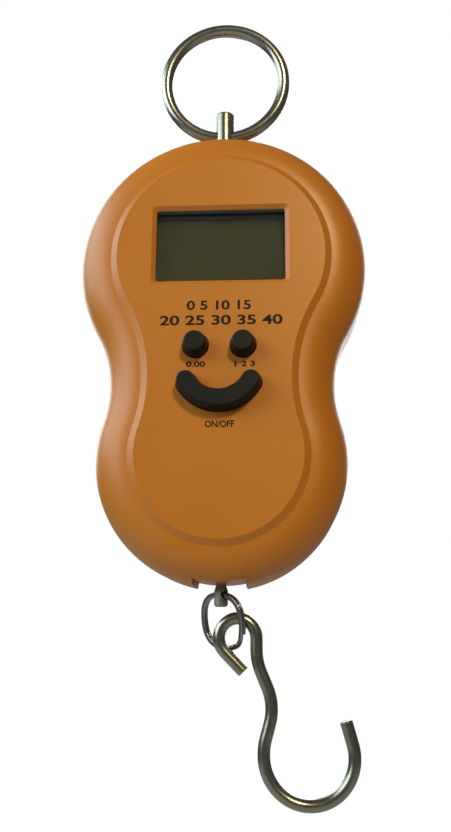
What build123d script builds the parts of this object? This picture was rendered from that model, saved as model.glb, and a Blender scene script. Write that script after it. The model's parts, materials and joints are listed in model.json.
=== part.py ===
"""Digital hanging scale: a moulded case of two round lobes, hung from a ring, with a
display and three rubber keys in front, a weighing cell and two cells inside, and a
hook on a small link below.

Millimetres, +Z up, the display faces -Y, +X to the right.  The origin is the point at
the top of the ring's eye, on the inside, where the ring rests on what holds it up.

Inside this file a place on the case is given by x, by z above the centre of the upper
lobe, and by t, the distance in front of the parting plane of the two shells.
"""

import os
from math import asin, atan2, cos, degrees, radians, sin, sqrt

from build123d import *

os.makedirs("parts", exist_ok=True)

# ---------------------------------------------------------------- driving dimensions
# case outline and shells
upper_r = 37.5            # upper lobe
lower_r = 31.5            # lower lobe
lobe_pitch = 51.9         # between the two lobe centres
waist_r = 30.2            # hollow radius of the waist
front_depth = 14.0        # parting plane to front face
rear_depth = 14.0         # parting plane to back face
front_round = 10.0        # rounding of the front edge
rear_round = 8.0          # rounding of the back edge
wall = 2.2                # side wall
front_wall = 2.4          # front wall behind the face
rear_wall = 2.0
seam = 0.35               # bevel on both lips of the seam
panel_inset = 8.9         # foot of the raised panel, inward from the outline
panel_rise = 1.1
panel_slope = 56.5        # degrees the panel's side leans in
panel_sink = 0.3          # foot of the panel below the front face
panel_edge = 0.4          # rounding of the panel's edge
notch_width = 12.8        # notch in the bottom edge, for the link
notch_depth = 1.7

# hanging ring and its post
ring_r = 16.75            # centre line of the ring
ring_wire = 3.4
ring_lean = 5.0           # degrees the ring leans forward of the post at rest
ring_standoff = 4.5       # ring eye above the top of the case
post_d = 5.4
post_above_eye = 7.3
post_shank_d = 3.4
post_nut_af = 6.4
post_nut_h = 2.8
guide_length = 10.0       # solid guides for the post and the stem in the shells
guide_half_x = 6.5
guide_half_t = 6.0

# weighing cell (S-shaped block)
cell_half_x = 13.0
cell_top = 23.0
cell_arm = 6.0
cell_slot = 5.0
cell_web = 12.0
cell_depth = 7.0
cell_slot_end = 8.0       # how far past the middle each slot is cut
cell_hole_d = 8.0
cell_hole_x = 5.0
cell_screw_x = 9.0
cell_screw_d = 2.2
cell_screw_l = 10.0
cell_screw_seat = 1.7
cell_head_d = 4.0
cell_head_h = 1.5
cell_boss_r = 3.0
gauge_x = 4.0
gauge_t = 5.0
gauge_h = 0.3
lead_d = 0.5

# hook stem, link and hook
stem_d = 2.5
stem_end_d = 3.4
stem_eye_drop = 1.0       # stem eye below the bottom of the case
stem_below_eye = 2.9
stem_collar_d = 4.6
stem_collar_h = 1.5
stem_nut_af = 5.0
stem_nut_h = 2.2
link_half_w = 6.8         # centre line of the oval link
link_half_h = 6.4
link_wire = 1.5
link_turn = 44.0          # degrees the link is turned about the stem
link_swing = 11.0         # degrees the link hangs back at rest
link_slide = 5.0          # degrees the link has slid round in the stem's eye
hook_wire = 3.0
hook_eye_r = 4.52
hook_eye_x = 4.2          # centre of the hook's eye, from the stem
hook_eye_drop = 10.21     # and below the stem's eye
hook_t = 0.95             # plane of the hook, in front of the stem
hook_tail = 6.2           # straight end of the wire past the eye
hook_knee_drop = 5.4      # first bend of the shank, below the eye centre
hook_bulge = 4.24         # how far the second bend stands out from the first
hook_bulge_drop = 9.97
hook_bend_r = 8.5         # of the three bends in the shank
hook_bowl_r = 10.5
hook_bowl_out = 1.64      # left side of the bowl, right of the eye's right side
hook_bowl_drop = 26.61    # bowl centre below the eye centre
hook_bowl_rise = 2.1      # the shank meets the bowl above its centre
hook_tip_angle = 15.5     # how far the bowl runs up past level on the free side
hook_tip = 5.0            # straight tip past the bowl

# display
display_w = 33.0
display_h = 19.6
display_z = 2.3
display_bevel = 1.05
display_bevel_depth = 0.8
lens_lip = 1.6            # flange of the window behind the wall
lens_lip_h = 1.2
frame_wall = 0.9
frame_reveal = 0.5        # window of the frame beyond the opening
glass_h = 2.8
glass_margin = 1.2        # display glass beyond the window of the frame
glow_h = 0.8              # light panel behind the glass
glass_play = 0.2
strip_w = 1.8             # rubber contact strips

# circuit board
board_top = 17.0
board_bottom = -44.0
board_h = 1.6
board_back = 4.5          # t of the board's back
board_rim = 2.0           # board past the middle of its upper screws
board_screw_top_z = 14.0
board_screw_low = (20.0, -40.0)
board_boss_r = 2.3
board_boss_gap = 0.4      # between the upper bosses and the display's frame
board_screw_d = 1.8
board_screw_l = 5.6
board_screw_head_h = 1.2
chip_w = 7.0
chip_h = 1.4
chip_at = (-14.5, -17.5)
part_l = 2.0              # small parts soldered to the board
part_w = 1.25
part_h = 0.8
part_pitch = 4.0
part_field = (16.0, -19.0)
part_row = (-17.0, -29.0)
part_single = (17.0, -30.0)

# keys
key_x = 5.88
key_z = -25.0
key_base_d = 6.5
key_top_d = 5.2
key_rise = 3.9
arc_key_z = -30.3         # centre of the bow key's arc
arc_key_r = 9.0
arc_key_w = 5.3
arc_key_top_w = 4.3
arc_key_span = 122.0
arc_key_rise = 3.9
key_edge = 0.5
key_lip = 1.0             # flange behind the wall
key_lip_h = 1.0
key_travel = 0.8
key_play = 0.12           # between a key and its opening
switch_w = 4.5
switch_h = 1.8
switch_pin_d = 2.2
switch_pin_h = 0.7

# battery bay, door and cells
battery_d = 10.5
battery_l = 44.5
battery_pip_d = 3.8
battery_pip_h = 0.8
battery_x = 8.6
bay_gap = 0.7             # bay below the stem's collar
spring_l = 4.5
spring_wire = 0.7
spring_r = 3.4
plate_h = 0.5
plate_w = 9.6
tab_w = 2.0
bay_play = 0.35
bay_wall = 1.2
bay_floor = 1.2
bay_floor_t = -0.2        # front side of the bay's floor
door_h = 1.6
door_margin = 1.0         # door beyond the two troughs
door_end = 2.0
door_play = 0.2

# case screws
screw_top = (20.0, 25.0)
screw_low = (19.0, -66.0)
screw_boss_r = 3.2
screw_d = 2.2
screw_head_d = 4.4
screw_head_h = 1.8
screw_seat_t = -5.0       # t of the shoulder under the head
screw_l = 10.0

# clearances
turn_play = 0.1           # radial, round a turning shaft
thread_play = 0.05        # radial, round a screw

# ------------------------------------------------------------------- derived sizes
ring_eye_z = upper_r + ring_standoff
ring_reach = 2 * ring_r - ring_wire / 2
part_y = ring_reach * sin(radians(ring_lean))
lobe_z = -(ring_eye_z + ring_reach * cos(radians(ring_lean)))
case_bottom = -(lobe_pitch + lower_r)
frame_w = display_w + 2 * frame_reveal
frame_h = display_h + 2 * frame_reveal
glass_w = frame_w + 2 * glass_margin
glass_tall = frame_h + 2 * glass_margin + strip_w
frame_out_w = glass_w + 2 * (glass_play + frame_wall)
frame_out_h = glass_tall + 2 * (glass_play + frame_wall)
board_screw_x = frame_out_w / 2 + board_boss_gap + board_boss_r
board_half_x = board_screw_x + board_rim
panel_t = front_depth + panel_rise
inner_front = front_depth - front_wall
inner_rear = -(rear_depth - rear_wall)
notch_roof = case_bottom + notch_depth
board_front = board_back + board_h
frame_front = inner_front - lens_lip_h
cell_web_top = cell_top - cell_arm - cell_slot
cell_web_low = cell_web_top - cell_web
cell_low_arm = cell_web_low - cell_slot
cell_low = cell_low_arm - cell_arm
bay_top = cell_low - 0.1 - stem_collar_h - bay_gap - door_end - bay_wall
bay_bottom = bay_top - 2 * plate_h - battery_l - spring_l
bay_mid = (bay_top + bay_bottom) / 2
trough_w = battery_d + 2 * bay_play
bay_half_x = battery_x + trough_w / 2
floor_back = bay_floor_t - bay_floor
battery_t = floor_back - battery_d / 2 - 0.25
stem_eye_z = case_bottom - stem_eye_drop
switch_top = board_front + switch_h + switch_pin_h
key_foot = switch_top + key_travel + 0.1


def face(t, x=0, z=0):
    """Upright plane, t in front of the parting plane, looking out of the display."""
    return Plane(origin=(x, part_y - t, lobe_z + z), x_dir=(1, 0, 0), z_dir=(0, -1, 0))


def level(z, x=0, t=0):
    """Level plane at height z."""
    return Plane(origin=(x, part_y - t, lobe_z + z), x_dir=(1, 0, 0), z_dir=(0, 0, 1))


def waist():
    """Centre of the waist's right hollow, and the angles where it meets the lobes."""
    a, b = upper_r + waist_r, lower_r + waist_r
    z = -(a * a - b * b + lobe_pitch**2) / (2 * lobe_pitch)
    x = sqrt(a * a - z * z)
    return x, z, degrees(atan2(z, x)), degrees(atan2(z + lobe_pitch, x))


def outline(inset):
    """The case's outline of two lobes and a waist, moved inward."""
    x, z, top, low = waist()
    with BuildSketch() as shape:
        with BuildLine():
            CenterArc((0, 0), upper_r - inset, top, 180 - 2 * top)
            CenterArc((-x, z), waist_r + inset, -low, low - top)
            CenterArc((0, -lobe_pitch), lower_r - inset, 180 - low, 180 + 2 * low)
            CenterArc((x, z), waist_r + inset, 180 + top, low - top)
        make_face()
    return shape.sketch


def both_sides(point):
    return [(-point[0], point[1]), point]


screw_points = both_sides(screw_top) + both_sides(screw_low)
board_points = both_sides((board_screw_x, board_screw_top_z)) + both_sides(board_screw_low)
cell_screw_points = both_sides((cell_screw_x, cell_top - cell_arm / 2))
key_points = [(-key_x, key_z), (key_x, key_z)]
arc_key_mid = (0, arc_key_z - arc_key_r)


def bow(width):
    """Face of the bow-shaped key, an arc slot that opens upward."""
    with BuildLine() as arc:
        CenterArc((0, arc_key_z), arc_key_r, 270 - arc_key_span / 2, arc_key_span)
    with BuildSketch() as shape:
        SlotArc(arc.edges()[0], width)
    return shape.sketch


# --------------------------------------------------------------------- front shell
# space inside the front shell, less the bosses and guides that stand in it
with BuildPart() as front_space:
    with BuildSketch(face(0)):
        add(outline(wall))
    extrude(amount=inner_front)
    fillet(front_space.faces().sort_by(Axis.Y)[0].edges(), front_round - wall)
    with BuildSketch(face(0)):
        with Locations(*screw_points):
            Circle(screw_boss_r)
    extrude(amount=front_depth, mode=Mode.SUBTRACT)
    with BuildSketch(face(board_front)):
        with Locations(*board_points):
            Circle(board_boss_r)
    extrude(amount=front_depth, mode=Mode.SUBTRACT)
    with BuildSketch(face(0)):
        with Locations((0, upper_r - guide_length / 2), (0, case_bottom + guide_length / 2)):
            Rectangle(2 * guide_half_x, guide_length)
    extrude(amount=guide_half_t, mode=Mode.SUBTRACT)

with BuildPart() as front_case:
    with BuildSketch(face(0)):
        add(outline(0))
    extrude(amount=front_depth)
    fillet(front_case.faces().sort_by(Axis.Y)[0].edges(), front_round)
    chamfer(front_case.faces().sort_by(Axis.Y)[-1].edges(), seam)
    with BuildSketch(face(front_depth - panel_sink)):
        add(outline(panel_inset))
    extrude(amount=panel_sink + panel_rise, taper=panel_slope)
    fillet(front_case.faces().sort_by(Axis.Y)[0].edges(), panel_edge)
    add(front_space.part, mode=Mode.SUBTRACT)
    # opening of the display, with its bevel
    with BuildSketch(face(inner_front - 1)):
        with Locations((0, display_z)):
            RectangleRounded(display_w, display_h, 0.8)
    extrude(amount=front_depth, mode=Mode.SUBTRACT)
    with BuildSketch(face(panel_t - display_bevel_depth)):
        with Locations((0, display_z)):
            RectangleRounded(display_w, display_h, 0.8)
    with BuildSketch(face(panel_t)):
        with Locations((0, display_z)):
            RectangleRounded(
                display_w + 2 * display_bevel, display_h + 2 * display_bevel, 1.3
            )
    loft(mode=Mode.SUBTRACT)
    # openings of the keys
    with BuildSketch(face(inner_front - 1)):
        with Locations(*key_points):
            Circle(key_base_d / 2 + key_play)
        add(bow(arc_key_w + 2 * key_play))
    extrude(amount=front_depth, mode=Mode.SUBTRACT)
    # screw and board pilots
    with BuildSketch(face(-1)):
        with Locations(*screw_points):
            Circle(screw_d / 2 + thread_play)
    extrude(amount=1 + screw_seat_t + screw_l + 1, mode=Mode.SUBTRACT)
    with BuildSketch(face(board_front - 1)):
        with Locations(*board_points):
            Circle(board_screw_d / 2 + thread_play)
    extrude(amount=5.5, mode=Mode.SUBTRACT)
    # notch in the bottom edge
    with BuildSketch(face(-1)):
        with Locations((0, case_bottom)):
            Rectangle(notch_width, 4 * notch_depth)
        with Locations((0, -lobe_pitch)):
            Circle(lower_r - notch_depth, mode=Mode.SUBTRACT)
    extrude(amount=front_depth + 2, mode=Mode.SUBTRACT)
    # bores of the post and the stem
    with BuildSketch(level(upper_r - guide_length - 1)):
        Circle(post_d / 2 + turn_play)
    extrude(amount=guide_length + 3, mode=Mode.SUBTRACT)
    with BuildSketch(level(case_bottom - 1)):
        Circle(stem_d / 2 + turn_play)
    extrude(amount=guide_length + 3, mode=Mode.SUBTRACT)
front_case.part.label = "front_case"
export_step(front_case.part, "parts/front_case.step")

# ---------------------------------------------------------------------- rear shell
with BuildPart() as rear_space:
    with BuildSketch(face(0)):
        add(outline(wall))
    extrude(amount=inner_rear)
    fillet(rear_space.faces().sort_by(Axis.Y)[-1].edges(), rear_round - wall)
    with BuildSketch(face(0)):
        with Locations(*screw_points):
            Circle(screw_boss_r)
    extrude(amount=-rear_depth, mode=Mode.SUBTRACT)
    with BuildSketch(face(-cell_depth / 2)):
        with Locations(*cell_screw_points):
            Circle(cell_boss_r)
    extrude(amount=-rear_depth, mode=Mode.SUBTRACT)
    with BuildSketch(face(0)):
        with Locations((0, upper_r - guide_length / 2), (0, case_bottom + guide_length / 2)):
            Rectangle(2 * guide_half_x, guide_length)
    extrude(amount=-guide_half_t, mode=Mode.SUBTRACT)
    with BuildSketch(face(bay_floor_t)):
        with Locations((0, bay_mid)):
            Rectangle(
                2 * (bay_half_x + door_margin + bay_wall),
                bay_top - bay_bottom + 2 * (door_end + bay_wall),
            )
    extrude(amount=-rear_depth, mode=Mode.SUBTRACT)

door_w = 2 * (bay_half_x + door_margin)
door_l = bay_top - bay_bottom + 2 * door_end

with BuildPart() as rear_case:
    with BuildSketch(face(0)):
        add(outline(0))
    extrude(amount=-rear_depth)
    fillet(rear_case.faces().sort_by(Axis.Y)[-1].edges(), rear_round)
    chamfer(rear_case.faces().sort_by(Axis.Y)[0].edges(), seam)
    add(rear_space.part, mode=Mode.SUBTRACT)
    # troughs for the cells, slot for the stem, recess for the door
    with BuildSketch(face(floor_back)):
        with Locations((-battery_x, bay_mid), (battery_x, bay_mid)):
            Rectangle(trough_w, bay_top - bay_bottom)
    extrude(amount=-rear_depth, mode=Mode.SUBTRACT)
    with BuildSketch(face(1)):
        with Locations((0, bay_mid)):
            Rectangle(stem_d + 1.2, bay_top - bay_bottom + 4 * (door_end + bay_wall))
    extrude(amount=-(1 + stem_d / 2 + 1.0), mode=Mode.SUBTRACT)
    with BuildSketch(face(-rear_depth + door_h)):
        with Locations((0, bay_mid)):
            RectangleRounded(door_w + 2 * door_play, door_l + 2 * door_play, 2.2)
    extrude(amount=-rear_depth, mode=Mode.SUBTRACT)
    # passage of the plate that joins the two cells, and of the two solder tabs
    with BuildSketch(face(floor_back - 1.8)):
        with Locations((0, bay_bottom + plate_h / 2)):
            Rectangle(2 * battery_x, plate_h)
    extrude(amount=-8.3, mode=Mode.SUBTRACT)
    with BuildSketch(face(floor_back - 1)):
        with Locations((-battery_x, bay_top - 0.4), (battery_x, bay_top - 0.4)):
            Rectangle(tab_w + 0.4, 0.8)
    extrude(amount=4, mode=Mode.SUBTRACT)
    # screw holes with deep seats for the heads
    with BuildSketch(face(1)):
        with Locations(*screw_points):
            Circle(screw_d / 2 + thread_play)
    extrude(amount=-rear_depth, mode=Mode.SUBTRACT)
    with BuildSketch(face(screw_seat_t)):
        with Locations(*screw_points):
            Circle(screw_head_d / 2 + 0.3)
    extrude(amount=-rear_depth, mode=Mode.SUBTRACT)
    with BuildSketch(face(-cell_depth / 2 + 1)):
        with Locations(*cell_screw_points):
            Circle(cell_screw_d / 2 + thread_play)
    extrude(amount=-8, mode=Mode.SUBTRACT)
    # notch and bores, in line with the front shell
    with BuildSketch(face(1)):
        with Locations((0, case_bottom)):
            Rectangle(notch_width, 4 * notch_depth)
        with Locations((0, -lobe_pitch)):
            Circle(lower_r - notch_depth, mode=Mode.SUBTRACT)
    extrude(amount=-(rear_depth + 2), mode=Mode.SUBTRACT)
    with BuildSketch(level(upper_r - guide_length - 1)):
        Circle(post_d / 2 + turn_play)
    extrude(amount=guide_length + 3, mode=Mode.SUBTRACT)
    with BuildSketch(level(case_bottom - 1)):
        Circle(stem_d / 2 + turn_play)
    extrude(amount=guide_length + 3, mode=Mode.SUBTRACT)
rear_case.part.label = "rear_case"
export_step(rear_case.part, "parts/rear_case.step")

# ---------------------------------------------------------------- battery bay parts
with BuildPart() as battery_door:
    with BuildSketch(face(-rear_depth + door_h)):
        with Locations((0, bay_mid)):
            RectangleRounded(door_w, door_l, 2.0)
    extrude(amount=-door_h)
    # grip grooves and the thumb notch over the latch
    with BuildSketch(face(-rear_depth)):
        with Locations(*[(0, bay_top - 4 - 2.2 * k) for k in range(4)]):
            SlotOverall(12, 1.0)
    extrude(amount=0.5, mode=Mode.SUBTRACT)
battery_door.part.label = "battery_door"
export_step(battery_door.part, "parts/battery_door.step")


def battery(x, pip_z, up):
    """One cell; pip_z is the height of its contact pip, up is +1 when that is on top."""
    with BuildPart() as cell:
        with BuildSketch(level(pip_z, x, battery_t)):
            Circle(battery_pip_d / 2)
        extrude(amount=-up * battery_pip_h)
        with BuildSketch(level(pip_z - up * battery_pip_h, x, battery_t)):
            Circle(battery_d / 2)
        extrude(amount=-up * (battery_l - battery_pip_h))
        fillet(cell.edges().filter_by(GeomType.CIRCLE).group_by(SortBy.RADIUS)[-1], 0.4)
    return cell.part


with BuildPart() as battery_left:
    add(battery(-battery_x, bay_top - plate_h, 1))
battery_left.part.label = "battery_left"
export_step(battery_left.part, "parts/battery_left.step")

with BuildPart() as battery_right:
    add(battery(battery_x, bay_bottom + plate_h, -1))
battery_right.part.label = "battery_right"
export_step(battery_right.part, "parts/battery_right.step")


def coil(x, z):
    """Contact spring standing on its plate at height z."""
    with BuildPart() as spring:
        start = level(z + spring_wire / 2, x, battery_t)
        with BuildLine(start) as turns:
            Helix(pitch=(spring_l - spring_wire) / 3, height=spring_l - spring_wire,
                  radius=spring_r)
        with BuildSketch(Plane(origin=turns.line @ 0, z_dir=turns.line % 0)):
            Circle(spring_wire / 2 - 0.01)
        sweep(is_frenet=True)
    return spring.part


with BuildPart() as battery_springs:
    add(coil(-battery_x, bay_bottom + plate_h))
    add(coil(battery_x, bay_top - plate_h - spring_l))
battery_springs.part.label = "battery_springs"
export_step(battery_springs.part, "parts/battery_springs.step")

with BuildPart() as contact_plates:
    with BuildSketch(face(battery_t - 4.6)):
        with Locations((-battery_x, bay_top - plate_h / 2), (battery_x, bay_top - plate_h / 2)):
            Rectangle(plate_w, plate_h)
    extrude(amount=plate_w - 0.6)
    with BuildSketch(face(battery_t + 4.0)):
        with Locations((-battery_x, bay_top - plate_h / 2), (battery_x, bay_top - plate_h / 2)):
            Rectangle(tab_w, plate_h)
    extrude(amount=bay_floor_t + 0.8 - battery_t - 4.0)
contact_plates.part.label = "contact_plates"
export_step(contact_plates.part, "parts/contact_plates.step")

with BuildPart() as bridge_plate:
    with BuildSketch(face(battery_t - 4.0)):
        with Locations((0, bay_bottom + plate_h / 2)):
            Rectangle(2 * battery_x + plate_w, plate_h)
    extrude(amount=7.6)
bridge_plate.part.label = "bridge_plate"
export_step(bridge_plate.part, "parts/bridge_plate.step")

with BuildPart() as battery_leads:
    lead_foot = bay_floor_t + 0.8
    with BuildSketch(face(lead_foot)):
        with Locations((-battery_x, bay_top - plate_h / 2), (battery_x, bay_top - plate_h / 2)):
            Circle(0.45)
    extrude(amount=board_back - lead_foot)
battery_leads.part.label = "battery_leads"
export_step(battery_leads.part, "parts/battery_leads.step")

# --------------------------------------------------------------------- case screws
with BuildPart() as case_screws:
    with BuildSketch(face(screw_seat_t)):
        with Locations(*screw_points):
            Circle(screw_d / 2)
    extrude(amount=screw_l)
    with BuildSketch(face(screw_seat_t)):
        with Locations(*screw_points):
            Circle(screw_head_d / 2)
    extrude(amount=-screw_head_h)
    with BuildSketch(face(screw_seat_t - screw_head_h)):
        with Locations(*screw_points):
            Rectangle(2.6, 0.6)
            Rectangle(0.6, 2.6)
    extrude(amount=0.8, mode=Mode.SUBTRACT)
case_screws.part.label = "case_screws"
export_step(case_screws.part, "parts/case_screws.step")

# ------------------------------------------------------------------------- display
with BuildPart() as display_window:
    with BuildSketch(face(frame_front)):
        with Locations((0, display_z)):
            RectangleRounded(display_w + 2 * lens_lip, display_h + 2 * lens_lip, 1.2)
    extrude(amount=lens_lip_h)
    with BuildSketch(face(inner_front)):
        with Locations((0, display_z)):
            RectangleRounded(display_w - 0.2, display_h - 0.2, 0.7)
    extrude(amount=panel_t - display_bevel_depth - inner_front)
display_window.part.label = "display_window"
export_step(display_window.part, "parts/display_window.step")

with BuildPart() as display_frame:
    with BuildSketch(face(board_front)):
        with Locations((0, display_z)):
            RectangleRounded(frame_out_w, frame_out_h, 1.0)
    extrude(amount=frame_front - board_front)
    with BuildSketch(face(board_front)):
        with Locations((0, display_z)):
            Rectangle(glass_w + 2 * glass_play, glass_tall + 2 * glass_play)
    extrude(amount=glow_h + glass_h, mode=Mode.SUBTRACT)
    with BuildSketch(face(board_front)):
        with Locations((0, display_z)):
            Rectangle(frame_w, frame_h)
    extrude(amount=frame_front - board_front, mode=Mode.SUBTRACT)
display_frame.part.label = "display_frame"
export_step(display_frame.part, "parts/display_frame.step")

with BuildPart() as backlight_panel:
    with BuildSketch(face(board_front)):
        with Locations((0, display_z)):
            Rectangle(frame_w, glass_tall - 2 * (strip_w + 0.4))
    extrude(amount=glow_h)
backlight_panel.part.label = "backlight_panel"
export_step(backlight_panel.part, "parts/backlight_panel.step")

with BuildPart() as contact_strips:
    with BuildSketch(face(board_front)):
        with Locations(
            (0, display_z + glass_tall / 2 - strip_w / 2),
            (0, display_z - glass_tall / 2 + strip_w / 2),
        ):
            Rectangle(frame_w, strip_w)
    extrude(amount=glow_h)
contact_strips.part.label = "contact_strips"
export_step(contact_strips.part, "parts/contact_strips.step")

with BuildPart() as display_glass:
    with BuildSketch(face(board_front + glow_h)):
        with Locations((0, display_z)):
            Rectangle(glass_w, glass_tall)
    extrude(amount=glass_h)
display_glass.part.label = "display_glass"
export_step(display_glass.part, "parts/display_glass.step")

# ------------------------------------------------------------------- circuit board
with BuildPart() as circuit_board:
    with BuildSketch(face(board_back)):
        with Locations((0, (board_top + board_bottom) / 2)):
            RectangleRounded(2 * board_half_x, board_top - board_bottom, 3.0)
        with Locations(*board_points):
            Circle(board_screw_d / 2 + 0.2, mode=Mode.SUBTRACT)
    extrude(amount=board_h)
circuit_board.part.label = "circuit_board"
export_step(circuit_board.part, "parts/circuit_board.step")

with BuildPart() as board_chip:
    with BuildSketch(face(board_front)):
        with Locations(chip_at):
            Rectangle(chip_w, chip_w)
    extrude(amount=chip_h)
    chamfer(board_chip.faces().sort_by(Axis.Y)[0].edges(), 0.25)
board_chip.part.label = "board_chip"
export_step(board_chip.part, "parts/board_chip.step")

with BuildPart() as board_parts:
    with BuildSketch(face(board_front)):
        with Locations(part_field):
            with GridLocations(part_pitch, part_pitch, 2, 2):
                Rectangle(part_l, part_w)
        with Locations(part_row):
            with GridLocations(part_pitch, part_pitch, 1, 2):
                Rectangle(part_l, part_w)
        with Locations(part_single):
            Rectangle(part_l, part_w)
    extrude(amount=part_h)
board_parts.part.label = "board_parts"
export_step(board_parts.part, "parts/board_parts.step")

with BuildPart() as key_switches:
    with BuildSketch(face(board_front)):
        with Locations(*key_points, arc_key_mid):
            Rectangle(switch_w, switch_w)
    extrude(amount=switch_h)
    with BuildSketch(face(board_front + switch_h)):
        with Locations(*key_points, arc_key_mid):
            Circle(switch_pin_d / 2)
    extrude(amount=switch_pin_h)
key_switches.part.label = "key_switches"
export_step(key_switches.part, "parts/key_switches.step")

with BuildPart() as board_screws:
    with BuildSketch(face(board_back)):
        with Locations(*board_points):
            Circle(board_screw_d / 2)
    extrude(amount=board_screw_l)
    with BuildSketch(face(board_back)):
        with Locations(*board_points):
            Circle(board_screw_d)
    extrude(amount=-board_screw_head_h)
board_screws.part.label = "board_screws"
export_step(board_screws.part, "parts/board_screws.step")

# ---------------------------------------------------------------------------- keys


def round_key(point):
    """Round rubber key: foot, flange behind the wall, straight neck and tapered cap."""
    with BuildPart() as key:
        with BuildSketch(face(key_foot)):
            with Locations(point):
                Circle(1.5)
        extrude(amount=inner_front - key_lip_h - key_foot)
        with BuildSketch(face(inner_front - key_lip_h)):
            with Locations(point):
                Circle(key_base_d / 2 + key_lip)
        extrude(amount=key_lip_h)
        with BuildSketch(face(inner_front)):
            with Locations(point):
                Circle(key_base_d / 2)
        extrude(amount=panel_t - inner_front)
        with BuildSketch(face(panel_t)):
            with Locations(point):
                Circle(key_base_d / 2)
        with BuildSketch(face(panel_t + key_rise)):
            with Locations(point):
                Circle(key_top_d / 2)
        loft()
        fillet(key.faces().sort_by(Axis.Y)[0].edges(), key_edge)
    return key.part


with BuildPart() as tare_button:
    add(round_key(key_points[0]))
tare_button.part.label = "tare_button"
export_step(tare_button.part, "parts/tare_button.step")

with BuildPart() as unit_button:
    add(round_key(key_points[1]))
unit_button.part.label = "unit_button"
export_step(unit_button.part, "parts/unit_button.step")

with BuildPart() as power_button:
    with BuildSketch(face(key_foot)):
        with Locations(arc_key_mid):
            Circle(1.5)
    extrude(amount=inner_front - key_lip_h - key_foot)
    with BuildSketch(face(inner_front - key_lip_h)):
        add(bow(arc_key_w + 2 * key_lip))
    extrude(amount=key_lip_h)
    with BuildSketch(face(inner_front)):
        add(bow(arc_key_w))
    extrude(amount=panel_t - inner_front)
    with BuildSketch(face(panel_t)):
        add(bow(arc_key_w))
    with BuildSketch(face(panel_t + arc_key_rise)):
        add(bow(arc_key_top_w))
    loft()
    fillet(power_button.faces().sort_by(Axis.Y)[0].edges(), key_edge)
power_button.part.label = "power_button"
export_step(power_button.part, "parts/power_button.step")

# ------------------------------------------------------------------- weighing cell
with BuildPart() as load_cell:
    with BuildSketch(face(-cell_depth / 2)):
        with Locations((0, (cell_top + cell_low) / 2)):
            Rectangle(2 * cell_half_x, cell_top - cell_low)
        slot_l = cell_half_x + cell_slot_end
        with Locations(((cell_slot_end - cell_half_x) / 2, cell_web_top + cell_slot / 2)):
            Rectangle(slot_l, cell_slot, mode=Mode.SUBTRACT)
        with Locations(((cell_half_x - cell_slot_end) / 2, cell_web_low - cell_slot / 2)):
            Rectangle(slot_l, cell_slot, mode=Mode.SUBTRACT)
        web_mid = (cell_web_top + cell_web_low) / 2
        with Locations((-cell_hole_x, web_mid), (cell_hole_x, web_mid)):
            Circle(cell_hole_d / 2, mode=Mode.SUBTRACT)
        with Locations((0, web_mid)):
            Rectangle(2 * cell_hole_x, 2.0, mode=Mode.SUBTRACT)
        with Locations(*cell_screw_points):
            Circle(cell_screw_d / 2 + thread_play, mode=Mode.SUBTRACT)
    extrude(amount=cell_depth)
    with BuildSketch(face(cell_depth / 2)):
        with Locations(*cell_screw_points):
            Circle(cell_head_d / 2 + 0.1)
    extrude(amount=-cell_screw_seat, mode=Mode.SUBTRACT)
    with BuildSketch(level(cell_top + 1)):
        Circle(post_shank_d / 2 + turn_play)
    extrude(amount=-(cell_arm + 1.5), mode=Mode.SUBTRACT)
    with BuildSketch(level(cell_low - 1)):
        Circle(stem_d / 2 + turn_play)
    extrude(amount=cell_arm + 1.5, mode=Mode.SUBTRACT)
load_cell.part.label = "load_cell"
export_step(load_cell.part, "parts/load_cell.step")

with BuildPart() as load_cell_screws:
    with BuildSketch(face(cell_depth / 2 - cell_screw_seat)):
        with Locations(*cell_screw_points):
            Circle(cell_screw_d / 2)
    extrude(amount=-cell_screw_l)
    with BuildSketch(face(cell_depth / 2 - cell_screw_seat)):
        with Locations(*cell_screw_points):
            Circle(cell_head_d / 2)
    extrude(amount=cell_head_h)
load_cell_screws.part.label = "load_cell_screws"
export_step(load_cell_screws.part, "parts/load_cell_screws.step")

with BuildPart() as strain_gauges:
    with BuildSketch(face(-gauge_t / 2)):
        with Locations(*[(x, z) for x in (-cell_hole_x, cell_hole_x)
                         for z in (cell_web_top + gauge_h / 2, cell_web_low - gauge_h / 2)]):
            Rectangle(gauge_x, gauge_h)
    extrude(amount=gauge_t)
strain_gauges.part.label = "strain_gauges"
export_step(strain_gauges.part, "parts/strain_gauges.step")

with BuildPart() as gauge_leads:
    lead_z = gauge_h
    with BuildSketch(face(gauge_t / 2)):
        with Locations(*[(x, z) for x in (-cell_hole_x, cell_hole_x)
                         for z in (cell_web_top + lead_z, cell_web_low - lead_z)]):
            Circle(lead_d / 2)
    extrude(amount=board_back - gauge_t / 2)
gauge_leads.part.label = "gauge_leads"
export_step(gauge_leads.part, "parts/gauge_leads.step")

# --------------------------------------------------------------- ring, post and nut
ring_plane = Plane(
    origin=(0, part_y, lobe_z + ring_eye_z), x_dir=(1, 0, 0), z_dir=(0, -1, 0)
).rotated((ring_lean, 0, 0))

with BuildPart() as hanging_ring:
    with BuildLine(ring_plane) as ring_line:
        CenterArc((0, ring_r), ring_r, 0, 360)
    with BuildSketch(Plane(origin=ring_line.line @ 0, z_dir=ring_line.line % 0)):
        Circle(ring_wire / 2)
    sweep()
hanging_ring.part.label = "hanging_ring"
export_step(hanging_ring.part, "parts/hanging_ring.step")

post_top = ring_eye_z + post_above_eye
post_shoulder = cell_top + 0.1
ring_sag = ring_r - sqrt(ring_r**2 - (post_d / 2) ** 2)

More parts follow.
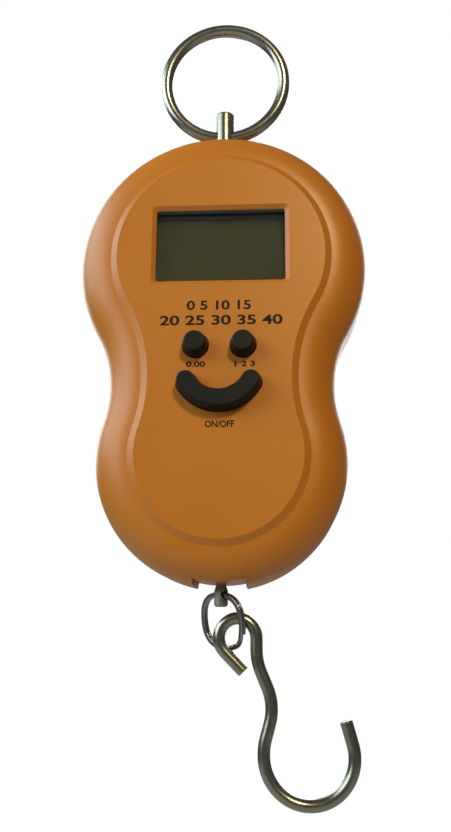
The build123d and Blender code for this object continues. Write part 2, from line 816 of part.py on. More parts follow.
with BuildPart() as top_post:
    with BuildSketch(level(post_shoulder)):
        Circle(post_d / 2)
    extrude(amount=post_top - post_shoulder)
    fillet(top_post.faces().sort_by(Axis.Z)[-1].edges(), 0.6)
    with BuildSketch(level(post_shoulder)):
        Circle(post_shank_d / 2)
    extrude(amount=-(cell_arm + 0.1 + post_nut_h + 0.5))
    with BuildSketch(Plane(origin=(0, part_y, lobe_z + ring_eye_z), z_dir=(1, 0, 0))):
        Circle(ring_wire / 2 + ring_sag + turn_play)
    extrude(amount=post_d, both=True, mode=Mode.SUBTRACT)
top_post.part.label = "top_post"
export_step(top_post.part, "parts/top_post.step")

with BuildPart() as top_nut:
    with BuildSketch(level(cell_top - cell_arm)):
        RegularPolygon(post_nut_af / 2, 6, major_radius=False)
        Circle(post_shank_d / 2, mode=Mode.SUBTRACT)
    extrude(amount=-post_nut_h)
top_nut.part.label = "top_nut"
export_step(top_nut.part, "parts/top_nut.step")

# ------------------------------------------------------------- stem, nut, link, hook
link_top_r = link_half_w**2 / link_half_h
link_sag = link_top_r - sqrt(link_top_r**2 - (stem_end_d / 2) ** 2)
link_tilt = stem_end_d / 2 * sin(radians(link_slide))
link_back = Vector(sin(radians(link_turn)), cos(radians(link_turn)), 0)
link_side = Vector(cos(radians(link_turn)), -sin(radians(link_turn)), 0)
stem_eye = Vector(0, part_y, lobe_z + stem_eye_z)

with BuildPart() as hook_stem:
    with BuildSketch(level(cell_low_arm + stem_nut_h + 0.8)):
        Circle(stem_d / 2)
    extrude(amount=stem_eye_z - 1.0 - (cell_low_arm + stem_nut_h + 0.8))
    with BuildSketch(level(cell_low - 0.1)):
        Circle(stem_collar_d / 2)
    extrude(amount=-stem_collar_h)
    with BuildSketch(level(stem_eye_z + 2.2)):
        Circle(stem_d / 2)
    with BuildSketch(level(stem_eye_z + 0.9)):
        Circle(stem_end_d / 2)
    loft()
    with BuildSketch(level(stem_eye_z + 0.9)):
        Circle(stem_end_d / 2)
    extrude(amount=-(stem_below_eye + 0.9))
    chamfer(hook_stem.faces().sort_by(Axis.Z)[0].edges(), 0.45)
    with BuildSketch(Plane(origin=stem_eye, z_dir=link_side)):
        Circle(link_wire / 2 + link_sag + link_tilt + turn_play)
    extrude(amount=stem_end_d, both=True, mode=Mode.SUBTRACT)
hook_stem.part.label = "hook_stem"
export_step(hook_stem.part, "parts/hook_stem.step")

with BuildPart() as stem_nut:
    with BuildSketch(level(cell_low_arm)):
        RegularPolygon(stem_nut_af / 2, 6, major_radius=False)
        Circle(stem_d / 2, mode=Mode.SUBTRACT)
    extrude(amount=stem_nut_h)
stem_nut.part.label = "stem_nut"
export_step(stem_nut.part, "parts/stem_nut.step")

# the link hangs from the stem's eye in a plane turned about the stem
link_hang = Vector(0, 0, -1) * cos(radians(link_swing)) + link_back * sin(radians(link_swing))
link_across = link_side * cos(radians(link_slide)) + link_hang * sin(radians(link_slide))
link_down = link_hang * cos(radians(link_slide)) - link_side * sin(radians(link_slide))

with BuildPart() as hook_link:
    with BuildLine(Plane(origin=stem_eye + link_down * link_half_h, x_dir=link_across,
                         z_dir=link_across.cross(link_down))) as link_line:
        EllipticalCenterArc((0, 0), link_half_w, link_half_h, start_angle=0, arc_size=360)
    with BuildSketch(Plane(origin=link_line.line @ 0, z_dir=link_line.line % 0)):
        Circle(link_wire / 2)
    sweep()
hook_link.part.label = "hook_link"
export_step(hook_link.part, "parts/hook_link.step")

# hook: one wire bent into an open eye, a cranked shank and a round bowl
eye_z = stem_eye_z - hook_eye_drop
shank_x = hook_eye_x + hook_eye_r
bowl_left = shank_x + hook_bowl_out
bowl_x = bowl_left + hook_bowl_r
bowl_z = eye_z - hook_bowl_drop
tail_start = (hook_eye_x - hook_eye_r * cos(radians(45)), eye_z - hook_eye_r * sin(radians(45)))
tail_end = (tail_start[0] + hook_tail * cos(radians(45)), tail_start[1] - hook_tail * sin(radians(45)))

with BuildPart() as hook:
    with BuildLine(face(hook_t)) as hook_line:
        Line(tail_end, tail_start)
        CenterArc((hook_eye_x, eye_z), hook_eye_r, 225, -225)
        FilletPolyline(
            (shank_x, eye_z),
            (shank_x, eye_z - hook_knee_drop),
            (shank_x + hook_bulge, eye_z - hook_knee_drop - hook_bulge_drop),
            (bowl_left, bowl_z + hook_bowl_rise),
            (bowl_left, bowl_z),
            radius=hook_bend_r,
        )
        bowl = CenterArc((bowl_x, bowl_z), hook_bowl_r, 180, 180 + hook_tip_angle)
        Line(bowl @ 1, bowl @ 1 + bowl % 1 * hook_tip)
    with BuildSketch(Plane(origin=hook_line.line @ 0, z_dir=hook_line.line % 0)):
        Circle(hook_wire / 2)
    sweep(path=hook_line.line)
    chamfer(hook.faces().filter_by(GeomType.PLANE).edges(), 0.25)
hook.part.label = "hook"
export_step(hook.part, "parts/hook.step")
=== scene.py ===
"""Digital hanging scale: moulded case with a display and three rubber keys, a ring above
and a wire hook below.  Metres, +Z up, the display faces -Y; the origin is the point in
the ring's eye where the ring rests on what holds it up.
"""

import json
from math import cos, pi, radians, sin

import bmesh
import bpy
import numpy as np
from mathutils import Matrix, Vector


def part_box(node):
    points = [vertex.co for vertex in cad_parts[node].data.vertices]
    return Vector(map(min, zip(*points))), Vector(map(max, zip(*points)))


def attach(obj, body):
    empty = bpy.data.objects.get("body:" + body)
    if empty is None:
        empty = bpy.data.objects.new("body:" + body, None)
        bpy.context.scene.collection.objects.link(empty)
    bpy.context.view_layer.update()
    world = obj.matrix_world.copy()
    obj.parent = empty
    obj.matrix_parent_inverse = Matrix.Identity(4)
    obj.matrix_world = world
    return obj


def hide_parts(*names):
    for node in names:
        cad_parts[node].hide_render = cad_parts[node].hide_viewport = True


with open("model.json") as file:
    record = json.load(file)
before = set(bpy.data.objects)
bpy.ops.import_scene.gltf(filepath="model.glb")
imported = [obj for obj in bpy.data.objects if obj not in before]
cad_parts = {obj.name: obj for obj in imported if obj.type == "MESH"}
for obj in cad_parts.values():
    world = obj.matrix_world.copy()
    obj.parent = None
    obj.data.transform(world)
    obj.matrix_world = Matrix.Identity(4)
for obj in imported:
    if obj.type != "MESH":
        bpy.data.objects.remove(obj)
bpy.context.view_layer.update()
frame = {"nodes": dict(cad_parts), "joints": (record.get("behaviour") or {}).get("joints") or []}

nodes = frame["nodes"]
mm = 0.001


# ---------------------------------------------------------------------- weighing cell
# The weighing cell is a block of milled aluminium with two saw cuts.  Four strain gauges
# are glued in the cuts with amber resin, and red enamelled leads go to the board.  Two
# zinc-plated screws hold its upper arm to bosses of the rear shell.
def paint(red, green, blue):
    """Linear colour of a shade given in display values from 0 to 255."""
    shade = np.array([red, green, blue]) / 255
    linear = np.where(shade <= 0.04045, shade / 12.92, ((shade + 0.055) / 1.055) ** 2.4)
    return (*linear.tolist(), 1.0)


def effect(name, inputs, outputs):
    """Empty shader group; inputs give a kind and a value by name, outputs a kind."""
    tree = bpy.data.node_groups.new(name, "ShaderNodeTree")
    for label, (kind, value) in inputs.items():
        socket = tree.interface.new_socket(label, in_out="INPUT", socket_type="NodeSocket" + kind)
        socket.default_value = value
    for label, kind in outputs.items():
        tree.interface.new_socket(label, in_out="OUTPUT", socket_type="NodeSocket" + kind)
    return tree, tree.nodes.new("NodeGroupInput").outputs, tree.nodes.new("NodeGroupOutput")


def put(tree, kind, feeds, **settings):
    """Adds one shader node; a feed is a plain value or the socket that it comes from."""
    node = tree.nodes.new("ShaderNode" + kind)
    for key, value in settings.items():
        setattr(node, key, value)
    for key, value in feeds.items():
        if isinstance(value, bpy.types.NodeSocket):
            tree.links.new(value, node.inputs[key])
        else:
            node.inputs[key].default_value = value
    return node


def mottle():
    """Colour and roughness that drift over a surface, with a fine grain in its height:
    shade = colour * (1 + tone * patches), roughness = middle + spread * (patches + grain),
    where patches and grain are noise about nought at two scales."""
    tree, given, out = effect(
        "mottle",
        {"Color": ("Color", (0.5, 0.5, 0.5, 1)), "Tone": ("Float", 0.1),
         "Patches": ("Float", 60.0), "Grain": ("Float", 2500.0),
         "Roughness": ("Float", 0.4), "Spread": ("Float", 0.1)},
        {"Color": "Color", "Roughness": "Float", "Height": "Float"},
    )
    place = put(tree, "TexCoord", {}).outputs["Object"]
    patches = put(tree, "TexNoise", {"Vector": place, "Scale": given["Patches"], "Detail": 4.0})
    grain = put(tree, "TexNoise", {"Vector": place, "Scale": given["Grain"], "Detail": 2.0})
    drift = put(tree, "Math", {0: patches.outputs["Fac"], 1: 0.5}, operation="SUBTRACT")
    tone = put(tree, "Math", {0: drift.outputs[0], 1: given["Tone"], 2: 1.0},
               operation="MULTIPLY_ADD")
    shade = put(tree, "VectorMath", {0: given["Color"], "Scale": tone.outputs[0]},
                operation="SCALE")
    both = put(tree, "Math", {0: drift.outputs[0], 1: grain.outputs["Fac"]}, operation="ADD")
    spread = put(tree, "Math", {0: both.outputs[0], 1: 0.5}, operation="SUBTRACT")
    rough = put(tree, "Math", {0: spread.outputs[0], 1: given["Spread"], 2: given["Roughness"]},
                operation="MULTIPLY_ADD", use_clamp=True)
    tree.links.new(shade.outputs[0], out.inputs["Color"])
    tree.links.new(rough.outputs[0], out.inputs["Roughness"])
    tree.links.new(grain.outputs["Fac"], out.inputs["Height"])
    return tree


def marks():
    """Hairline scratches and pin-prick pits: long thin noise cut off near its crest, and
    the cores of scattered cells, both kept to a few patches."""
    tree, given, out = effect(
        "marks",
        {"Scratches": ("Float", 90.0), "Pits": ("Float", 260.0), "Amount": ("Float", 1.0)},
        {"Mask": "Float"},
    )
    place = put(tree, "TexCoord", {}).outputs["Object"]
    turned = put(tree, "Mapping", {"Vector": place, "Rotation": (0.3, 0.9, 0.5),
                                   "Scale": (1.0, 4.0, 6.0)})
    hair = put(tree, "TexNoise", {"Vector": turned.outputs[0], "Scale": given["Scratches"],
                                  "Detail": 1.0})
    hair_on = put(tree, "MapRange", {"Value": hair.outputs["Fac"], "From Min": 0.78,
                                     "From Max": 0.82})
    cells = put(tree, "TexVoronoi", {"Vector": place, "Scale": given["Pits"]})
    pit_on = put(tree, "MapRange", {"Value": cells.outputs["Distance"], "From Min": 0.10,
                                    "From Max": 0.05})
    zone = put(tree, "TexNoise", {"Vector": place, "Scale": 55.0, "Detail": 1.0})
    zone_on = put(tree, "MapRange", {"Value": zone.outputs["Fac"], "From Min": 0.60,
                                     "From Max": 0.70})
    either = put(tree, "Math", {0: hair_on.outputs[0], 1: pit_on.outputs[0]}, operation="MAXIMUM")
    kept = put(tree, "Math", {0: either.outputs[0], 1: zone_on.outputs[0]}, operation="MULTIPLY")
    mask = put(tree, "Math", {0: kept.outputs[0], 1: given["Amount"]}, operation="MULTIPLY",
               use_clamp=True)
    tree.links.new(mask.outputs[0], out.inputs["Mask"])
    return tree


mottle_group, marks_group = mottle(), marks()


def finish(name, color, roughness, tone=0.1, patches=60.0, grain=2500.0, spread=0.1,
           bump=0.02, depth=0.02 * mm, wear=None, worn=None, **sockets):
    """Principled material with a mottled colour and grain; wear is the amount of marks,
    which show the worn colour; the other sockets are set as they are given."""
    material = bpy.data.materials.new(name)
    material.use_nodes = True
    tree = material.node_tree
    shader = tree.nodes["Principled BSDF"]
    look = put(tree, "Group", {}, node_tree=mottle_group)
    for label, value in (("Color", color), ("Tone", tone), ("Patches", patches),
                         ("Grain", grain), ("Roughness", roughness), ("Spread", spread)):
        look.inputs[label].default_value = value
    shade = look.outputs["Color"]
    if wear is not None:
        scars = put(tree, "Group", {}, node_tree=marks_group)
        scars.inputs["Amount"].default_value = wear
        mixed = put(tree, "Mix", {}, data_type="RGBA")
        tree.links.new(scars.outputs["Mask"], mixed.inputs["Factor"])
        tree.links.new(shade, mixed.inputs[6])
        mixed.inputs[7].default_value = worn or color
        shade = mixed.outputs[2]
    relief = put(tree, "Bump", {"Height": look.outputs["Height"], "Strength": bump,
                                "Distance": depth})
    tree.links.new(shade, shader.inputs["Base Color"])
    tree.links.new(look.outputs["Roughness"], shader.inputs["Roughness"])
    tree.links.new(relief.outputs["Normal"], shader.inputs["Normal"])
    for label, value in sockets.items():
        shader.inputs[label.replace("_", " ")].default_value = value
    return material


def dress(material, *names):
    """Gives the CAD nodes named a material."""
    for name in names:
        for holder in nodes[name].material_slots:
            holder.material = material


dress(finish("milled_aluminium", paint(205, 206, 208), 0.34, patches=120.0, grain=1800.0,
             bump=0.25, Metallic=1.0), "load_cell")
dress(finish("gauge_resin", paint(196, 128, 38), 0.3, tone=0.3, patches=500.0,
             Coat_Weight=0.6), "strain_gauges")
dress(finish("red_enamel", paint(150, 26, 20), 0.3, patches=700.0, Coat_Weight=0.4),
      "gauge_leads", "battery_leads")
dress(finish("zinc_plate", paint(176, 176, 170), 0.32, tone=0.2, patches=300.0, bump=0.15,
             Metallic=1.0), "load_cell_screws", "board_screws", "case_screws")


# --------------------------------------------------------------- post, stem and nuts
# A bright post takes the ring's load into the top of the cell, and a dull plated stem
# hangs from its lower arm.  Both turn in the cell and are held by nuts in its cuts.
post_metal = finish("bright_plate", paint(150, 149, 136), 0.24, tone=0.15, patches=180.0,
                    grain=900.0, spread=0.08, bump=0.03, wear=0.5, worn=paint(60, 60, 52),
                    Metallic=1.0, Coat_Weight=0.30, Coat_Roughness=0.24)
stem_metal = finish("dull_plate", paint(150, 151, 132), 0.55, tone=0.3, patches=420.0,
                    grain=1600.0, spread=0.15, bump=0.25, Metallic=0.7)
dress(post_metal, "top_post")
dress(stem_metal, "hook_stem", "stem_nut", "top_nut")


# ------------------------------------------------------------------------- rear shell
# The rear shell is moulded in the same orange plastic as the front one.  It carries the
# cell, the guides of post and stem and the two troughs for the batteries.
case_plastic = finish("orange_plastic", paint(191, 117, 27), 0.40, tone=0.16, patches=34.0,
                      grain=3200.0, spread=0.12, bump=0.10, depth=0.05 * mm, wear=0.12,
                      worn=paint(214, 160, 104))
dress(case_plastic, "rear_case", "battery_door")


# -------------------------------------------------------------------------- batteries
# Two small cells lie in the troughs, one each way up, between nickel plates and springs.
# Their printed sleeves are black with a copper shoulder.
def colour_above(material, height, blend, color):
    """Another base colour above a height; it comes in evenly over the blend, which lies
    half below and half above that height."""
    tree = material.node_tree
    place = put(tree, "SeparateXYZ", {0: put(tree, "TexCoord", {}).outputs["Object"]})
    above = put(tree, "MapRange", {"Value": place.outputs["Z"], "From Min": height - blend / 2,
                                   "From Max": height + blend / 2})
    base = tree.nodes["Principled BSDF"].inputs["Base Color"]
    mixed = put(tree, "Mix", {}, data_type="RGBA")
    tree.links.new(above.outputs[0], mixed.inputs["Factor"])
    tree.links.new(base.links[0].from_socket, mixed.inputs[6])
    mixed.inputs[7].default_value = color
    tree.links.new(mixed.outputs[2], base)


sleeve = finish("battery_sleeve", paint(28, 28, 30), 0.3, patches=220.0, Coat_Weight=0.5)
shoulder = 13.1 * mm                                # copper band below the upper end
colour_above(sleeve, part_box("battery_left")[1][2] - shoulder, 0.2 * mm, paint(170, 98, 52))
dress(sleeve, "battery_left", "battery_right")
dress(finish("nickel_plate", paint(188, 186, 176), 0.22, patches=400.0, Metallic=1.0),
      "battery_springs", "contact_plates", "bridge_plate")


# ---------------------------------------------------------------------- circuit board
# The board is screwed behind the front shell.  It is green solder mask over glass cloth,
# with one black chip, tan chip parts and three push switches below the keys.
dress(finish("solder_mask", paint(24, 84, 48), 0.34, tone=0.35, patches=260.0, grain=1400.0,
             bump=0.12, Coat_Weight=0.3), "circuit_board")
dress(finish("chip_resin", paint(30, 30, 31), 0.5, grain=2600.0, bump=0.2), "board_chip",
      "key_switches")
dress(finish("ceramic_tan", paint(168, 130, 88), 0.45, tone=0.3, patches=900.0), "board_parts")


# ---------------------------------------------------------------------------- display
# A light panel and two striped rubber contacts lie under the glass of the display, which
# a black frame holds to the board.  The window in front is clear acrylic, and the film on
# the glass carries a painted shadow of the display opening's top lip along its upper edge.
dress(finish("light_panel", paint(222, 226, 218), 0.4, tone=0.04), "backlight_panel")
dress(finish("contact_rubber", paint(70, 70, 74), 0.6, grain=5000.0), "contact_strips")
dress(finish("frame_plastic", paint(22, 24, 24), 0.42, grain=2400.0, bump=0.1),
      "display_frame")
film = finish("display_film", paint(89, 90, 60), 0.32, tone=0.12, patches=42.0, spread=0.05,
              bump=0.01, Specular_IOR_Level=0.05)
painted_lip_shadow = 2.9 * mm                                # depth of the painted lip shadow on the film, below the window's top
# painted shadow: the film is coloured dark above this height, where the opening's top lip shades
# it
colour_above(film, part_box("display_window")[1][2] - painted_lip_shadow, 0.5 * mm, paint(30, 30, 28))
dress(film, "display_glass")
clear = finish("clear_acrylic", (0.93, 0.95, 0.93, 1), 0.03, tone=0.0, spread=0.02,
               bump=0.005, Transmission_Weight=1.0, IOR=1.49)
dress(clear, "display_window")


# ------------------------------------------------------------------------------- keys
# Three keys of black silicone rubber stand through the front.  Each has a flange behind
# the wall and a foot over its switch.
dress(finish("key_rubber", paint(14, 15, 14), 0.50, tone=0.20, patches=240.0, grain=4200.0,
             spread=0.16, bump=0.18, depth=0.03 * mm, wear=0.2, worn=paint(60, 59, 56),
             Specular_IOR_Level=0.22),
      "tare_button", "unit_button", "power_button")


# ------------------------------------------------------------------------ front shell
# The front shell has the raised panel with the opening of the display.  Its small plain
# figures and the switch marking are printed on the panel in black.
dress(case_plastic, "front_case")
ink = finish("black_ink", paint(20, 16, 10), 0.6, tone=0.35, patches=900.0, grain=5000.0,
             spread=0.1, Specular_IOR_Level=0.2)
upper_lobe_r = 37.5 * mm
panel_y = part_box("front_case")[0][1]
lobe_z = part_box("front_case")[1][2] - upper_lobe_r
ink_height = 0.02 * mm


def face_out(mesh, merge=0.0):
    """Turns all faces outward, after points nearer than 'merge' are made one."""
    shaped = bmesh.new()
    shaped.from_mesh(mesh)
    if merge:
        bmesh.ops.remove_doubles(shaped, verts=shaped.verts, dist=merge)
    bmesh.ops.recalc_face_normals(shaped, faces=shaped.faces)
    shaped.to_mesh(mesh)
    shaped.free()


def print_line(name, words, left, right, low, high, bold):
    """Printed words set flat on the panel, stretched to fill a box given in millimetres
    from the centre of the upper lobe; bold is how far the strokes are thickened."""
    curve = bpy.data.curves.new(name, "FONT")
    curve.body = words
    curve.extrude = 1.0
    curve.offset = bold
    text = bpy.data.objects.new(name, curve)
    bpy.context.scene.collection.objects.link(text)
    bpy.context.view_layer.update()
    mesh = bpy.data.meshes.new_from_object(text)
    bpy.data.objects.remove(text)
    at = np.empty(len(mesh.vertices) * 3)
    mesh.vertices.foreach_get("co", at)
    at = at.reshape(-1, 3)
    span = (at - at.min(0)) / np.ptp(at, 0)
    x = (left + span[:, 0] * (right - left)) * mm
    z = lobe_z + (low + span[:, 1] * (high - low)) * mm
    y = panel_y - ink_height * span[:, 2]
    mesh.vertices.foreach_set("co", np.column_stack([x, y, z]).ravel())
    mesh.materials.clear()
    mesh.materials.append(ink)
    face_out(mesh, merge=0.001 * mm)
    mesh.update()
    printed = bpy.data.objects.new(name, mesh)
    bpy.context.scene.collection.objects.link(printed)
    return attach(printed, "case")


print_line("print_figures_upper", "0 5 10 15", -8.2, 7.8, -15.7, -13.2, 0.024)
print_line("print_figures_lower", "20 25 30 35 40", -14.9, 15.6, -19.7, -17.1, 0.024)
print_line("print_key_left", "0.00", -8.1, -3.4, -30.6, -29.1, 0.03)
print_line("print_key_right", "1 2 3", 3.8, 8.8, -30.6, -29.1, 0.03)
print_line("print_switch", "ON/OFF", -3.3, 3.8, -45.8, -44.1, 0.025)


# ------------------------------------------------------------------------------- ring
# The ring is welded from bright plated steel wire and hangs in the eye of the post.
dress(post_metal, "hanging_ring")


# ------------------------------------------------------------------------------- link
# The link is a split ring: flat steel wire wound twice round an oval, with one step where
# it changes sides and both ends cut square beside the step.  It hangs in the stem's eye.
def wire(name, path, across, outline, blunt, material, body):
    """Wire as a grid: its outline (offsets to one side and along 'across') is carried
    along the path, and at both ends it shrinks by blunt * (1 - cos a) while it moves out
    by blunt * sin a, with a running from 0 to 90 degrees, before a flat face closes it."""
    ahead = np.gradient(path, axis=0)
    ahead /= np.linalg.norm(ahead, axis=1, keepdims=True)
    side = np.cross(across, ahead)
    side /= np.linalg.norm(side, axis=1, keepdims=True)
    lift = np.cross(ahead, side)
    corner = np.radians([18, 36, 54, 72, 90])
    out, shrink = blunt * np.sin(corner), blunt * (1 - np.cos(corner))
    inset = np.concatenate([shrink[::-1], np.zeros(len(path)), shrink])
    path = np.vstack([path[0] - out[::-1, None] * ahead[0], path,
                      path[-1] + out[:, None] * ahead[-1]])
    side = np.pad(side, ((len(corner), len(corner)), (0, 0)), mode="edge")
    lift = np.pad(lift, ((len(corner), len(corner)), (0, 0)), mode="edge")
    reach = np.linalg.norm(outline, axis=1).min()
    scale = (1 - inset / reach)[:, None, None]
    rows, columns = len(path), len(outline)
    points = path[:, None] + scale * (outline[None, :, :1] * side[:, None]
                                      + outline[None, :, 1:] * lift[:, None])
    at = np.vstack([points.reshape(-1, 3), path[:1], path[-1:]])
    row, column = np.meshgrid(np.arange(rows - 1), np.arange(columns), indexing="ij")
    after = (column + 1) % columns
    quads = np.stack([row * columns + column, row * columns + after,
                      (row + 1) * columns + after, (row + 1) * columns + column], -1)
    turn = np.arange(columns)
    beside = (turn + 1) % columns
    start, tail = rows * columns, (rows - 1) * columns
    near_end = np.column_stack([np.full(columns, start), beside, turn])
    far_end = np.column_stack([np.full(columns, start + 1), tail + turn, tail + beside])
    mesh = bpy.data.meshes.new(name)
    mesh.from_pydata(at.tolist(), [], quads.reshape(-1, 4).tolist()
                     + near_end.tolist() + far_end.tolist())
    mesh.materials.append(material)
    face_out(mesh)
    mesh.shade_smooth()
    piece = bpy.data.objects.new(name, mesh)
    bpy.context.scene.collection.objects.link(piece)
    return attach(piece, body)


joints = {joint["name"]: joint for joint in frame["joints"]}
stem_eye = np.array(joints["link_swing"]["pos_m"])
link_turn, link_swing, link_slide = radians(44), radians(11), radians(5)
link_back = np.array([sin(link_turn), cos(link_turn), 0])
link_side = np.array([cos(link_turn), -sin(link_turn), 0])
link_hang = np.array([0, 0, -1]) * cos(link_swing) + link_back * sin(link_swing)
link_across = link_side * cos(link_slide) + link_hang * sin(link_slide)
link_down = link_hang * cos(link_slide) - link_side * sin(link_slide)
link_axis = np.cross(link_across, link_down)
link_half_w, link_half_h = 6.7 * mm, 6.4 * mm
strip_wide, strip_thick = 1.3 * mm, 0.70 * mm       # across the ring, and of one turn
step_angle = radians(36)                            # over which the strip changes sides
start_angle = radians(58)                           # of the first end, from the right side
half_lift = 0.51 * strip_thick                      # of each turn from the middle plane
fullness = 0.035                                    # squares the oval a little
strip_power = 2 / 3.2                               # squares the strip's corners

wound = np.linspace(0, 4 * pi - step_angle, 720)
step = np.clip((wound - (2 * pi - step_angle)) / step_angle, 0, 1)
lifted = (step * step * (3 - 2 * step) * 2 - 1) * half_lift
oval = wound + start_angle
fuller = 1 + fullness * (1 - np.cos(4 * oval))
link_path = (stem_eye + link_down * link_half_h
             + (link_half_w * fuller * np.cos(oval))[:, None] * link_across
             + (link_half_h * fuller * np.sin(oval))[:, None] * link_down
             + lifted[:, None] * link_axis)
around = np.linspace(0, 2 * pi, 28, endpoint=False)
strip = np.column_stack([
    strip_wide / 2 * np.sign(np.cos(around)) * abs(np.cos(around)) ** strip_power,
    strip_thick / 2 * np.sign(np.sin(around)) * abs(np.sin(around)) ** strip_power,
])
link_metal = finish("link_plate", paint(140, 140, 138), 0.24, tone=0.25, patches=420.0,
                    grain=1500.0, spread=0.1, bump=0.05, Metallic=1.0)
link = wire("split_link", link_path, link_axis, strip, 0.08 * mm, link_metal, "link")
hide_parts("hook_link")


# ------------------------------------------------------------------------------- hook
# The hook is one round wire of dull plated steel, bent cold into an open eye, a cranked
# shank and a round bowl, with both ends cropped and tumbled smooth.
hook_metal = finish("hook_plate", paint(140, 140, 124), 0.25, tone=0.25, patches=220.0,
                    grain=700.0, spread=0.06, bump=0.02, wear=0.5, worn=paint(60, 60, 50),
                    Metallic=1.0, Coat_Weight=0.30, Coat_Roughness=0.24)
hook_eye = np.array(joints["hook_swing"]["pos_m"])
hook_wire_r, bend_r, eye_r, bowl_r = 1.49 * mm, 12 * mm, 4.52 * mm, 10.5 * mm
eye_sweep, bowl_sweep = radians(225), radians(195.5)
tail, above_bowl, tip = 6.2 * mm, 2.1 * mm, 5.4 * mm                   # straight lengths
crank = np.array([[0, -5.4], [4.24, -15.37], [1.64, -24.51]]) * mm     # from the eye's side
leg_one, leg_two = crank[1] - crank[0], crank[2] - crank[1]
lean_one = np.arctan2(leg_one[0], -leg_one[1])
lean_two = np.arctan2(leg_two[0], -leg_two[1])
bends = np.array([lean_one, lean_two - lean_one, -lean_two])
cut_off = bend_r * np.tan(abs(bends) / 2)
lengths = np.array([
    tail, eye_sweep * eye_r,
    -crank[0, 1] - cut_off[0], bend_r * abs(bends[0]),
    np.hypot(*leg_one) - cut_off[0] - cut_off[1], bend_r * abs(bends[1]),
    np.hypot(*leg_two) - cut_off[1] - cut_off[2], bend_r * abs(bends[2]),
    above_bowl - cut_off[2], bowl_sweep * bowl_r, tip,
])
turns = np.array([0, -eye_sweep, 0, bends[0], 0, bends[1], 0, bends[2], 0, bowl_sweep, 0])


def bent_wire(lengths, turns, first_heading, ease, pitch):
    """Plane line from its bends: the heading is the first one plus the turns, spread
    evenly over their lengths and eased by a running mean; the place is the running sum
    of pitch * (cos heading, sin heading)."""
    knots = np.concatenate([[0], np.cumsum(lengths)])
    heads = first_heading + np.concatenate([[0], np.cumsum(turns)])
    along = np.arange(0, knots[-1], pitch)
    window = np.hanning(int(ease / pitch) + 2)[1:-1]
    held = np.pad(np.interp(along, knots, heads), len(window) // 2, mode="edge")
    heading = np.convolve(held, window / window.sum(), mode="valid")[:len(along)]
    steps = pitch * np.column_stack([np.cos(heading), np.sin(heading)])
    return along, np.vstack([[0, 0], np.cumsum(steps[:-1], axis=0)])


along, line = bent_wire(lengths, turns, radians(135), 3 * mm, 0.2 * mm)
eye_start = np.array([cos(eye_sweep), sin(eye_sweep)]) * eye_r
line += eye_start - line[np.searchsorted(along, lengths[0])]
hook_path = hook_eye + np.column_stack([line[:, 0], np.zeros(len(line)), line[:, 1]])
rim = np.linspace(0, 2 * pi, 36, endpoint=False)
circle = hook_wire_r * np.column_stack([np.cos(rim), np.sin(rim)])
bent_hook = wire("bent_hook", hook_path, np.array([0.0, 1.0, 0.0]), circle, 0.3 * mm,
                 hook_metal, "hook")
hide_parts("hook")


# ------------------------------------------------------------ floor, lamps and camera
# A pale paper floor lies far below, a little dimmer under the scale, so that the shadow
# there stays.  One small warm lamp and four large ones light the scale, and the camera
# looks up at it from the hook's end.
def mirrored_light(tree, place, nearest, farthest, faint, full):
    """Brightness that only mirroring and clear pieces see: it rises from faint to full as
    the place's Y goes from nearest to farthest, so it comes from behind the scale."""
    seen = put(tree, "LightPath", {})
    bent = put(tree, "Math", {0: seen.outputs["Is Glossy Ray"],
                              1: seen.outputs["Is Transmission Ray"]}, operation="MAXIMUM")
    depth = put(tree, "SeparateXYZ", {0: place}).outputs["Y"]
    behind = put(tree, "MapRange", {"Value": depth, "From Min": nearest, "From Max": farthest,
                                    "To Min": faint, "To Max": full})
    return put(tree, "Math", {0: bent.outputs[0], 1: behind.outputs[0]}, operation="MULTIPLY")


floor_z, floor_half = -0.55, 3.0
mesh = bpy.data.meshes.new("floor")
mesh.from_pydata([(-floor_half, -floor_half, floor_z), (floor_half, -floor_half, floor_z),
                  (floor_half, floor_half, floor_z), (-floor_half, floor_half, floor_z)],
                 [], [(0, 1, 2, 3)])
floor = bpy.data.objects.new("floor", mesh)
bpy.context.scene.collection.objects.link(floor)
paper = bpy.data.materials.new("floor_paper")
paper.use_nodes = True
tree = paper.node_tree
shader = tree.nodes["Principled BSDF"]
shader.inputs["Base Color"].default_value = (0.42, 0.42, 0.42, 1)
shader.inputs["Roughness"].default_value = 0.9
shader.inputs["Emission Color"].default_value = (1, 1, 1, 1)
seen = put(tree, "LightPath", {})
place = put(tree, "TexCoord", {}).outputs["Object"]
flat = put(tree, "VectorMath", {0: place, 1: (1, 1, 0)}, operation="MULTIPLY")
away = put(tree, "VectorMath", {0: flat.outputs[0]}, operation="LENGTH")
fading = put(tree, "MapRange", {"Value": away.outputs["Value"], "From Min": 0.15,
                                "From Max": 0.60, "To Min": 0.72, "To Max": 1.0})
mirrored = mirrored_light(tree, place, 1.2, 3.0, 0.08, 0.3)
shown = put(tree, "Math", {0: seen.outputs["Is Camera Ray"], 1: fading.outputs[0]},
            operation="MULTIPLY")
glow = put(tree, "Math", {0: shown.outputs[0], 1: mirrored.outputs[0]}, operation="MAXIMUM")
tree.links.new(glow.outputs[0], shader.inputs["Emission Strength"])
mesh.materials.append(paper)

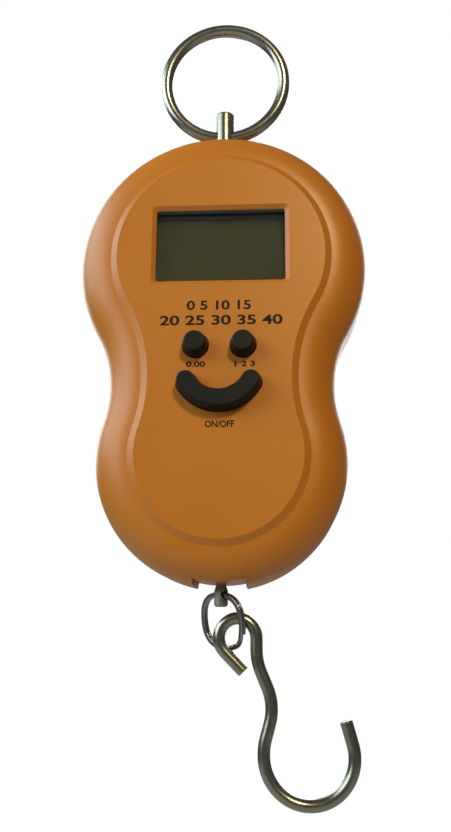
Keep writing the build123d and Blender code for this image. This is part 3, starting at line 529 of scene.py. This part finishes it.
world = bpy.data.worlds.new("studio")
bpy.context.scene.world = world
world.use_nodes = True
tree = world.node_tree
air = tree.nodes["Background"]
ambient = 0.06
seen = put(tree, "LightPath", {})
way = put(tree, "TexCoord", {}).outputs["Generated"]
mirrored = mirrored_light(tree, way, 0.55, 0.97, 0.12, 0.3)
shown = put(tree, "Math", {0: seen.outputs["Is Camera Ray"], 1: mirrored.outputs[0]},
            operation="MAXIMUM")
strength = put(tree, "Math", {0: shown.outputs[0], 1: ambient}, operation="MAXIMUM")
air.inputs["Color"].default_value = (1, 1, 1, 1)
tree.links.new(strength.outputs[0], air.inputs["Strength"])


lamp_distance = 1.2
middle = Vector((0.0, 0.0, -0.105))


def lamp(name, turn, rise, size, watts, color):
    """Soft square lamp at the same distance from the middle of the scale as the others,
    aimed at it; turn and rise are its degrees to the right of the front and above level."""
    turn, rise = radians(turn), radians(rise)
    out = Vector((sin(turn) * cos(rise), -cos(turn) * cos(rise), sin(rise)))
    light = bpy.data.lights.new(name, "AREA")
    light.size, light.energy, light.color = size, watts, color
    holder = bpy.data.objects.new(name, light)
    holder.matrix_world = (Matrix.Translation(middle + lamp_distance * out)
                           @ (-out).to_track_quat("-Z", "Y").to_matrix().to_4x4())
    bpy.context.scene.collection.objects.link(holder)


lamp("lamp_front_right", 19, 31, 0.20, 7.6, (1.0, 0.80, 0.45))
lamp("lamp_left", -54, 20, 0.75, 7.5, (0.84, 0.95, 1.0))
lamp("lamp_side", -92, 30, 0.75, 6.6, (0.70, 0.88, 1.0))
lamp("lamp_back_left", -150, 25, 0.75, 6.0, (1.0, 0.98, 0.95))
lamp("lamp_back_right", 165, 25, 0.75, 6.0, (1.0, 0.98, 0.95))

lens = bpy.data.cameras.new("camera")
lens.sensor_width, lens.lens = 36.0, 36.23
lens.clip_start = 0.01
camera_at = (0.013772, -0.206574, -0.167432)
turn_left, look_up, roll = radians(3.557), radians(14.607), radians(0.438)
camera = bpy.data.objects.new("camera", lens)
camera.matrix_world = (
    Matrix.Translation(camera_at)
    @ Matrix.Rotation(turn_left, 4, "Z")
    @ Matrix.Rotation(pi / 2 + look_up, 4, "X")
    @ Matrix.Rotation(roll, 4, "Z")
)
bpy.context.scene.collection.objects.link(camera)
bpy.context.scene.camera = camera
bpy.context.scene.view_settings.view_transform = "Standard"
